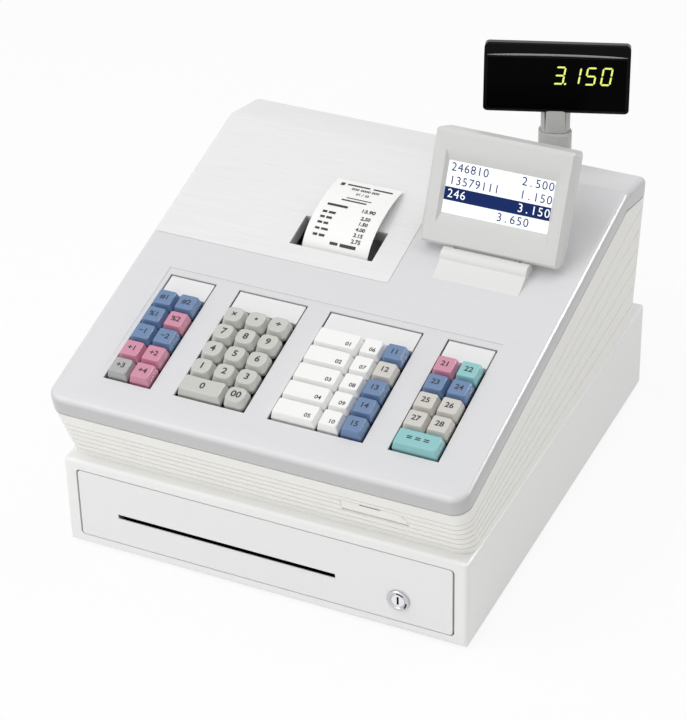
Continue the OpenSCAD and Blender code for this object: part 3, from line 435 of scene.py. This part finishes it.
key = {
    "pitch": 19.3,
    "gap": 2.0,
    "skirt": 3.0,
    "rise": 6.5,
    "inset": (1.5, 1.3),     # how far the top is drawn in across and along
    "dish": 0.7,
    "dishEdge": 0.3,         # flat strip at both sides of the dish
    "lastRow": 299.67,       # middle of row 5, from the bend
    "blocks": {"left": -119.3, "number": -48.1, "centre": 41.4, "right": 122.2},   # middles
    "corners": {"dished": (4.8, 3.4), "plain": (1.4, 0.8)},   # radius at the top and at the foot
    "markSize": 7.0,
    "numberSize": 8.5,
    "totalSize": 8.0,
    "whiteSize": 5.4,
    "whiteShift": {1: (2.2, -3.4), 2: (11, -3.4)},     # low at the right, by the key's units
    "markWeight": 0.025,
    "markLift": 0.06,
}
keyboard = {                 # colours and marks, row by row
    "left": ((("Blue", "#1"), ("Blue", "#2")), (("Blue", "%1"), ("Pink", "%2")),
             (("Blue", "−1"), ("Blue", "−2")), (("Pink", "+1"), ("Pink", "+2")),
             (("Grey", "+3"), ("Pink", "+4"))),
    "number": (("×", "•", "÷"), ("7", "8", "9"), ("4", "5", "6"), ("1", "2", "3"),
               ("0", None, "00")),
    "centre": (("Blue", "11"), ("Beige", "12"), ("Blue", "13"), ("Blue", "14"), ("Blue", "15")),
    "right": ((("Pink", "21"), ("Teal", "22")), (("Blue", "23"), ("Blue", "24")),
              (("Beige", "25"), ("Beige", "26")), (("Beige", "27"), ("Beige", "28"))),
    "total": ("Teal", "= = ="),
}
cornerSteps = 6
sideSteps = 6


def roundedOutline(halfX, halfY, radius):
    # points along a rectangle with round corners, anticlockwise
    points = []
    for turn, (sx, sy) in enumerate(((1, 1), (-1, 1), (-1, -1), (1, -1))):
        middle = (sx * (halfX - radius), sy * (halfY - radius))
        for step in range(cornerSteps + 1):
            a = math.radians(90 * turn + 90 * step / cornerSteps)
            points.append((middle[0] + radius * math.cos(a), middle[1] + radius * math.sin(a)))
        stepX, stepY = ((radius - halfX, 0), (0, radius - halfY),
                        (halfX - radius, 0), (0, halfY - radius))[turn]
        x, y = points[-1]
        points += [(x + 2 * stepX * k / sideSteps, y + 2 * stepY * k / sideSteps)
                   for k in range(1, sideSteps)]
    return points


def keyTopHeight(x, halfX, dished):
    # height over the key's foot of its top at x from its middle
    if not dished:
        return key["rise"]
    dishHalf = halfX - key["inset"][0] - key["dishEdge"]
    r = (dishHalf ** 2 + key["dish"] ** 2) / (2 * key["dish"])
    bottom = key["rise"] - key["dish"]
    return min(key["rise"], bottom + r - math.sqrt(r * r - min(x * x, r * r)))


def keyCap(name, u, v, units, material, body, dished=False):
    # rings of points from the skirt up over the shoulder, then two more and a middle on the top
    halfX = (units * key["pitch"] - key["gap"]) / 2
    halfY = (key["pitch"] - key["gap"]) / 2
    inX, inY = key["inset"]
    rise = key["rise"]
    r, foot = key["corners"]["dished" if dished and units == 1 else "plain"]
    # lower rings: height over the foot, share of the inset;
    # upper rings: depth below the top, share of the inset, corner radius
    lower = ((-key["skirt"], 0.0), (0.0, 0.0), (0.3, 0.12))
    upper = ((1.0, 0.8, r), (0.45, 0.92, r), (0.12, 1.1, r), (0.0, 1.36, r * 0.95),
             (0.0, 1.8, r * 0.9))
    rings = []
    for height, share in lower:
        outline = roundedOutline(halfX - inX * share, halfY - inY * share, foot)
        rings.append([(x, y, height) for x, y in outline])
    for depth, share, radius in upper:
        outline = roundedOutline(halfX - inX * share, halfY - inY * share, radius)
        rings.append([(x, y, min(rise, keyTopHeight(x, halfX, dished)) - depth)
                      for x, y in outline])
    rim = rings[-1]
    for share in (0.66, 0.33):
        rings.append([(x * share, y * share, keyTopHeight(x * share, halfX, dished))
                      for x, y, _ in rim])
    count = len(rings[0])
    vertices = [p for ring in rings for p in ring] + [(0, 0, keyTopHeight(0, halfX, dished))]
    faces = []
    for k in range(len(rings) - 1):
        for i in range(count):
            j = (i + 1) % count
            faces.append((k * count + i, k * count + j,
                          (k + 1) * count + j, (k + 1) * count + i))
    last = (len(rings) - 1) * count
    faces += [(last + i, last + (i + 1) % count, len(vertices) - 1) for i in range(count)]
    faces.append(tuple(reversed(range(count))))
    piece = addPiece(name, [(x + u, y - v, z) for x, y, z in vertices], faces, material, body,
                     slope, smooth=True)
    roundEdges(piece, 0)
    return piece


def flatText(text, size, weight=0.0):
    # numbers and signs as a flat mesh around the origin, in the units of size
    curve = bpy.data.curves.new("lettering", "FONT")
    curve.body = text
    curve.size = size
    curve.offset = weight * size
    curve.align_x, curve.align_y = "CENTER", "CENTER"
    curve.resolution_u = 3
    drawn = bpy.data.objects.new("lettering", curve)
    bpy.context.scene.collection.objects.link(drawn)
    bpy.context.view_layer.update()
    mesh = drawn.to_mesh()
    vertices = [tuple(v.co) for v in mesh.vertices]
    faces = [tuple(p.vertices) for p in mesh.polygons]
    drawn.to_mesh_clear()
    bpy.data.objects.remove(drawn)
    bpy.data.curves.remove(curve)
    return vertices, faces


def joined(parts):
    # one vertex and face list from several
    vertices, faces = [], []
    for partVertices, partFaces in parts:
        start = len(vertices)
        vertices += partVertices
        faces += [tuple(i + start for i in f) for f in partFaces]
    return vertices, faces


def keyMark(name, text, u, v, units, body, dished=False, shift=(0, 0), size=key["markSize"]):
    halfX = (units * key["pitch"] - key["gap"]) / 2
    drawn, faces = flatText(text, size, key["markWeight"])
    placed = [(x + shift[0], y + shift[1]) for x, y, _ in drawn]
    vertices = [(x + u, y - v, keyTopHeight(x, halfX, dished) + key["markLift"])
                for x, y in placed]
    addPiece(name, vertices, faces, finish["keyLegend"], body, slope)


def rowPlace(row):
    return key["lastRow"] - (5 - row) * key["pitch"]


def buildPairs(block, row):
    # the two keys of a row in the left or the right block
    v = rowPlace(row)
    body = f"{block}_keys_row_{row}"
    for i, (tone, mark) in enumerate(keyboard[block][row - 1]):
        u = key["blocks"][block] + (i - 0.5) * key["pitch"]
        cap = keyCap(f"{block}Key{row}{'AB'[i]}", u, v, 1, finish["key" + tone], body)
        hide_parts(body)
        keyMark(f"{block}KeyMark{row}{'AB'[i]}", mark, u, v, 1, body)


def buildCentreRow(row):
    # a wide white key, a small white one and a coloured one
    v = rowPlace(row)
    body = f"centre_keys_row_{row}"
    tone, mark = keyboard["centre"][row - 1]
    layout = ((-1, 2, "White", f"0{row}"), (0.5, 1, "White", f"{row + 5:02d}"),
              (1.5, 1, tone, mark))
    for i, (offset, units, tone, mark) in enumerate(layout):
        u = key["blocks"]["centre"] + offset * key["pitch"]
        cap = keyCap(f"centreKey{row}{'ABC'[i]}", u, v, units, finish["key" + tone], body)
        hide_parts(body)
        white = tone == "White"
        keyMark(f"centreKeyMark{row}{'ABC'[i]}", mark, u, v, units, body,
                shift=key["whiteShift"][units] if white else (0, 0),
                size=key["whiteSize"] if white else key["markSize"])


def buildNumberRow(row):
    v = rowPlace(row)
    for column, digit in enumerate(keyboard["number"][row - 1], start=1):
        if digit is None:
            continue
        body = "function_keys_row" if row == 1 else f"key_{digit}"
        kind, label = ("function", column) if row == 1 else ("number", digit)
        units = 2 if digit == "0" else 1
        u = key["blocks"]["number"] + (column - 2 + (units - 1) / 2) * key["pitch"]
        cap = keyCap(f"{kind}Key{label}", u, v, units, finish["keyPutty"], body, dished=True)
        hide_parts(body)
        keyMark(f"{kind}KeyMark{label}", digit, u, v, units, body, dished=True,
                size=key["numberSize"])


def buildTotalKey():
    u, v = key["blocks"]["right"], rowPlace(5)
    tone, mark = keyboard["total"]
    cap = keyCap("totalKey", u, v, 2, finish["key" + tone], "total_key")
    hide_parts("total_key")
    keyMark("totalKeyMark", mark, u, v, 2, "total_key", size=key["totalSize"])


def buildKeys():
    for row in range(1, 6):
        buildPairs("left", row)
        buildCentreRow(row)
        if row < 5:
            buildPairs("right", row)
        else:
            buildTotalKey()
    for row in range(1, 6):
        buildNumberRow(row)


buildKeys()
print("keys built")


# painted dark reflections on the lock's chrome ring, in mm and degrees

lockDarkReflections = {
    "middle": (116.7, -192.56, 31.7),
    "radii": (6.6, 8.0),
    "angles": ((50, 96), (-42, 0)),
    "steps": 8,
}


def buildLockDarkReflections():
    x0, y0, z0 = lockDarkReflections["middle"]
    steps = lockDarkReflections["steps"]
    parts = []
    for start, end in lockDarkReflections["angles"]:
        turns = [math.radians(start + (end - start) * k / steps) for k in range(steps + 1)]
        rim = [(x0 + r * math.cos(a), y0, z0 + r * math.sin(a))
               for a in turns for r in lockDarkReflections["radii"]]
        parts.append((rim, [(2 * k, 2 * k + 1, 2 * k + 3, 2 * k + 2) for k in range(steps)]))
    vertices, faces = joined(parts)
    addPiece("lockDarkReflections", vertices, faces, finish["lockReflectionBlack"], "drawer", Matrix.Scale(mm, 4))


buildLockDarkReflections()
print("lock marked")


# printed slip, in mm

slip = {
    "middle": -24.5,
    "width": 58.0,
    # y and z in the slope's frame, from the outlet up to the free end
    "curve": ((-130.5, -11), (-125, 9), (-86, 13), (-52, 2.5)),
    "thickness": 0.3,
    "inkLift": 0.06,
    "inkWeight": 0.03,
    # bars: left and right end, distance from the free end, height
    "bars": ((-23, -19.5, 5.2, 4.4), (-17, 3, 5.4, 2.6), (6, 23, 5.4, 2.6), (-10, 12, 24.0, 1.2),
             (-13, 9, 27.4, 1.2), (-22, -4, 34.6, 2.8), (-6, 1, 70.6, 2.4), (3, 17, 70.6, 2.8)),
    # numbers: text, middle, distance from the free end, size
    "numbers": (("000 0000 000", 1, 12.0, 4.4), ("01 / 10", 1, 18.0, 4.0),
                ("13.90", 14.5, 36.4, 5.6)),
    # lines of two short bars and an amount each
    "amounts": ("2.50", "1.50", "4.00", "3.15", "2.75"),
    "firstLine": 44.5,
    "lineSpacing": 5.6,
    "lineBars": {"left": -22.5, "gap": 1.4, "rise": 0.9, "height": 2.0},
    "amountMiddle": 15.5,
    "amountSize": 4.8,
}


def slipPoint(f, lift):
    # point at share f of the curve, lifted off it
    a, b, c, d = slip["curve"]
    g = 1 - f
    y, z = (g ** 3 * a[k] + 3 * g * g * f * b[k] + 3 * g * f * f * c[k] + f ** 3 * d[k]
            for k in (0, 1))
    dy, dz = (3 * (g * g * (b[k] - a[k]) + 2 * g * f * (c[k] - b[k]) + f * f * (d[k] - c[k]))
              for k in (0, 1))
    length = math.hypot(dy, dz)
    return y - lift * dz / length, z + lift * dy / length


def slipShare(distance):
    # share of the curve at that distance along the paper from its free end
    steps = 200
    walked, last = 0.0, slipPoint(1, 0)
    for k in range(steps - 1, -1, -1):
        here = slipPoint(k / steps, 0)
        walked += math.dist(here, last)
        last = here
        if walked >= distance:
            return k / steps
    return 0.0


def onSlip(x, down):
    # point on the paper's face, x across and down from its free end
    y, z = slipPoint(slipShare(down), slip["thickness"] + slip["inkLift"])
    return slip["middle"] + x, y, z


def slipBar(x0, x1, down, height):
    corners = [onSlip(x, d) for d in (down, down + height) for x in (x0, x1)]
    return corners, [(0, 1, 3, 2)]


def slipNumber(text, x, down, size):
    vertices, faces = flatText(text, size, slip["inkWeight"])
    return [onSlip(x + vx, down - vy) for vx, vy, _ in vertices], faces


def buildSlipPrint():
    parts = [slipBar(*bar) for bar in slip["bars"]]
    parts += [slipNumber(*number) for number in slip["numbers"]]
    bars = slip["lineBars"]
    for i, amount in enumerate(slip["amounts"]):
        down = slip["firstLine"] + slip["lineSpacing"] * i
        start = bars["left"]
        for length in (4, 6 - i % 3):
            parts.append(slipBar(start, start + length, down - bars["rise"], bars["height"]))
            start += length + bars["gap"]
        parts.append(slipNumber(amount, slip["amountMiddle"], down, slip["amountSize"]))
    vertices, faces = joined(parts)
    addPiece("slipPrint", vertices, faces, finish["slipPrint"], "printer_cover", slope)


buildSlipPrint()
print("slip printed")


# operator display's screen, in mm and degrees

operatorDisplay = {
    "foot": (100.8, 22.0, 217.2),
    "tilt": 23.6,
    "screen": (90.0, 42.5),
    "middle": 46.25,
    "face": 2.94,            # y of the lowest layer on the screen
    "layer": 0.05,
    "rows": (("246810", "2.500"), ("13579111", "1.150"), ("246", "3.150"), ("", "3.650")),
    "bandRow": 2,
    "leftMargin": 2.5,
    "amountRoom": (28, 28, 28, 44),     # from the right edge to where the amounts begin
    "pitches": (5.4, 5.6),
    "signSize": 0.92,                   # share of a row's height
    "bandInset": 0.3,
}
onOperatorDisplay = (Matrix.Translation(Vector(operatorDisplay["foot"]) * mm)
                     @ Matrix.Rotation(math.radians(-operatorDisplay["tilt"]), 4, "X")
                     @ Matrix.Scale(mm, 4))


def onScreen(x, z, layer):
    # point over the screen, x and z from its middle
    y = operatorDisplay["face"] - layer * operatorDisplay["layer"]
    return x, y, operatorDisplay["middle"] + z


def screenNumber(text, x, z, size, layer):
    vertices, faces = flatText(text, size)
    return [onScreen(x + vx, z + vy, layer) for vx, vy, _ in vertices], faces


def buildScreen():
    # numbers sign by sign; in one row they are pale on a dark band
    d = operatorDisplay
    width, height = d["screen"]
    line = height / len(d["rows"])
    size = line * d["signSize"]
    leftPitch, amountPitch = d["pitches"]
    dark, pale = [], []
    for i, (left, amount) in enumerate(d["rows"]):
        z = height / 2 - (i + 0.5) * line
        target, layer = (pale, 2) if i == d["bandRow"] else (dark, 0)
        for text, start, pitch in ((left, d["leftMargin"] - width / 2, leftPitch),
                                   (amount, width / 2 - d["amountRoom"][i], amountPitch)):
            for k, sign in enumerate(text):
                target.append(screenNumber(sign, start + (k + 0.5) * pitch, z, size, layer))
    z = height / 2 - (d["bandRow"] + 0.5) * line
    bandEnd = width / 2 - d["bandInset"]
    band = [onScreen(x, z + dz, 1) for dz in (-line / 2, line / 2) for x in (-bandEnd, bandEnd)]
    body = "operator_display"
    addPiece("screenDigits", *joined(dark), finish["screenBand"], body, onOperatorDisplay)
    addPiece("screenBand", band, [(0, 1, 3, 2)], finish["screenBand"], body, onOperatorDisplay)
    addPiece("screenBandDigits", *joined(pale), finish["screenGlass"], body, onOperatorDisplay)


buildScreen()
print("operator display's screen drawn")


# customer display's digits, in mm and degrees

customerDisplay = {
    "mast": (103.6, 161.0),
    "yaw": 19.0,
    "tilt": 13.4,
    "foot": (0.0, -8.5, 279.3),
    "digit": (9.2, 15.6),           # width and height
    "stroke": 1.4,
    "gap": 0.25,                    # at the ends of a segment
    "slant": 0.16,
    "rightEnd": 46.0,
    "middle": 31.2,
    "step": 12.6,
    "dot": 1.6,
    "dotGap": 1.2,
    "lip": {"width": 113.0, "height": 46.9, "rise": 0.9, "radius": 0.9, "out": 0.25},
}
onCustomerDisplay = (
    Matrix.Translation(Vector((*customerDisplay["mast"], 0)) * mm)
    @ Matrix.Rotation(math.radians(customerDisplay["yaw"]), 4, "Z")
    @ Matrix.Translation(Vector(customerDisplay["foot"]) * mm)
    @ Matrix.Rotation(math.radians(-customerDisplay["tilt"]), 4, "X")
    @ Matrix.Scale(mm, 4))
# segments from the top one clockwise, then the middle one
segmentsOf = {"0": "abcdef", "1": "bc", "2": "abged", "3": "abgcd", "4": "fgbc", "5": "afgcd",
              "6": "afgedc", "7": "abc", "8": "abcdefg", "9": "abcdfg"}


def segment(letter, w, h, t):
    # six-sided bar of a seven-segment digit whose segments end at w and h from its middle
    ends = {"a": ((-w, h), (w, h)), "d": ((-w, -h), (w, -h)), "g": ((-w, 0), (w, 0)),
            "f": ((-w, 0), (-w, h)), "b": ((w, 0), (w, h)), "e": ((-w, -h), (-w, 0)),
            "c": ((w, -h), (w, 0))}[letter]
    (x0, z0), (x1, z1) = ends
    gap = customerDisplay["gap"]
    if z0 == z1:
        return [(x0 + gap, z0), (x0 + t + gap, z0 + t), (x1 - t - gap, z0 + t),
                (x1 - gap, z0), (x1 - t - gap, z0 - t), (x0 + t + gap, z0 - t)]
    return [(x0, z0 + gap), (x0 - t, z0 + t + gap), (x0 - t, z1 - t - gap),
            (x0, z1 - gap), (x0 + t, z1 - t - gap), (x0 + t, z0 + t + gap)]


def buildDigits(text):
    d = customerDisplay
    w, h = (size / 2 - 1 for size in d["digit"])
    t = d["stroke"] / 2
    parts = []
    x = d["rightEnd"] - d["digit"][0] / 2 - d["slant"] * d["digit"][1] / 2
    for sign in reversed(text):
        if sign == ".":
            side = d["dot"]
            corners = [(x + w + d["dotGap"] + dx, -h - side / 2 + dz)
                       for dx, dz in ((0, 0), (side, 0), (side, side), (0, side))]
            parts.append(([(px + d["slant"] * pz, 0.0, pz) for px, pz in corners],
                          [(0, 1, 2, 3)]))
            continue
        for letter in segmentsOf[sign]:
            corners = segment(letter, w, h, t)
            parts.append(([(x + px + d["slant"] * pz, 0.0, pz) for px, pz in corners],
                          [tuple(range(6))]))
        x -= d["step"]
    vertices, faces = joined(parts)
    addPiece("customerDigits", [(px, 0.0, pz + d["middle"]) for px, _, pz in vertices], faces,
             finish["ledSegment"], "customer_display", onCustomerDisplay)


def buildLipHighlight():
    # moulded lip over the window, a half-round strip that thins out to both ends; its pale grey on
    # the black case is a painted highlight that fades to both ends
    lip = customerDisplay["lip"]
    across, around = 24, 8
    turns = [math.pi * (i / around - 0.5) for i in range(around + 1)]
    vertices = []
    for k in range(across + 1):
        share = 2 * k / across - 1
        r = lip["radius"] * math.sqrt(max(1 - share ** 4, 0.02))
        middle = lip["height"] + lip["rise"] * (1 - share ** 2)
        vertices += [(share * lip["width"] / 2, lip["out"] - r * math.cos(a),
                      middle + r * math.sin(a)) for a in turns]
    row = around + 1
    faces = [(k * row + i, k * row + i + 1, (k + 1) * row + i + 1, (k + 1) * row + i)
             for k in range(across) for i in range(around)]
    addPiece("windowLipHighlight", vertices, faces, finish["lipHighlightGrey"], "customer_display",
             onCustomerDisplay, smooth=True)


buildLipHighlight()
buildDigits("3.150")
print("customer display's digits drawn")


# floor, backdrop and lamps

studio = {
    "floorGrey": "#F8F8F8",
    "floorHalf": 6.0,        # m
    "floorDrop": 0.0002,     # m below the feet
    "world": 0.52,
    "shadowShare": 0.13,     # how much of the floor's own shading the camera sees
    "lamps": {               # place, width and height in m, watts
        "keyLamp": ((-1.1, -0.95, 2.3), (2.0, 2.0), 25),
        "topLamp": ((0.8, 0.7, 2.3), (1.6, 1.6), 11),
        "frontLamp": ((-0.6, -2.3, 0.9), (2.4, 1.6), 11),
        "glossLamp": ((1.27, 0.8, 0.8), (0.5, 0.6), 22),
    },
    "glossOnly": "glossLamp",    # shows only in the gloss of the right edges
    "aim": (0, 0, 0.12),
}


def cameraOrGlossy(tree):
    # 1 where the camera sees something directly, in a reflection or through clear plastic
    path = addNode(tree, "ShaderNodeLightPath")
    first = addNode(tree, "ShaderNodeMath", {"operation": "MAXIMUM"},
                    {0: path.outputs["Is Camera Ray"], 1: path.outputs["Is Glossy Ray"]})
    return addNode(tree, "ShaderNodeMath", {"operation": "MAXIMUM"},
                   {0: first.outputs[0], 1: path.outputs["Is Transmission Ray"]})


def buildStudio():
    material, tree = newMaterial("paleFloor")
    ground = addNode(tree, "ShaderNodeBsdfDiffuse", {"Color": colour(studio["floorGrey"])})
    white = addNode(tree, "ShaderNodeEmission", {"Color": (1, 1, 1, 1), "Strength": 1.0})
    seen = cameraOrGlossy(tree)
    share = addNode(tree, "ShaderNodeMath", {"operation": "MULTIPLY", 1: 1 - studio["shadowShare"]},
                    {0: seen.outputs[0]})
    finishMaterial(tree, addNode(tree, "ShaderNodeMixShader", links={
        0: share.outputs[0], 1: ground.outputs[0], 2: white.outputs[0]}))
    size = studio["floorHalf"]
    mesh = bpy.data.meshes.new("floor")
    mesh.from_pydata([(-size, -size, 0), (size, -size, 0), (size, size, 0), (-size, size, 0)], [],
                     [(0, 1, 2, 3)])
    floor = bpy.data.objects.new("floor", mesh)
    bpy.context.scene.collection.objects.link(floor)
    floor.location.z = -studio["floorDrop"]
    paint(floor, material)

    world = bpy.data.worlds.new("studio")
    bpy.context.scene.world = world
    world.use_nodes = True
    tree = world.node_tree
    tree.nodes.clear()
    dim = addNode(tree, "ShaderNodeBackground",
                  {"Color": (1, 1, 1, 1), "Strength": studio["world"]})
    bright = addNode(tree, "ShaderNodeBackground", {"Color": (1, 1, 1, 1), "Strength": 1.0})
    mixed = addNode(tree, "ShaderNodeMixShader", links={
        0: cameraOrGlossy(tree).outputs[0], 1: dim.outputs[0], 2: bright.outputs[0]})
    addNode(tree, "ShaderNodeOutputWorld", links={"Surface": mixed.outputs[0]})

    for name, (place, (width, height), watts) in studio["lamps"].items():
        lamp = bpy.data.lights.new(name, "AREA")
        lamp.shape = "RECTANGLE"
        lamp.size, lamp.size_y = width, height
        lamp.energy = watts
        piece = bpy.data.objects.new(name, lamp)
        bpy.context.scene.collection.objects.link(piece)
        piece.location = place
        piece.visible_diffuse = name != studio["glossOnly"]
        aim = Vector(studio["aim"]) - Vector(place)
        piece.rotation_euler = aim.to_track_quat("-Z", "Y").to_euler()
    view = bpy.context.scene.view_settings
    view.view_transform = "Standard"


buildStudio()
print("studio lit")
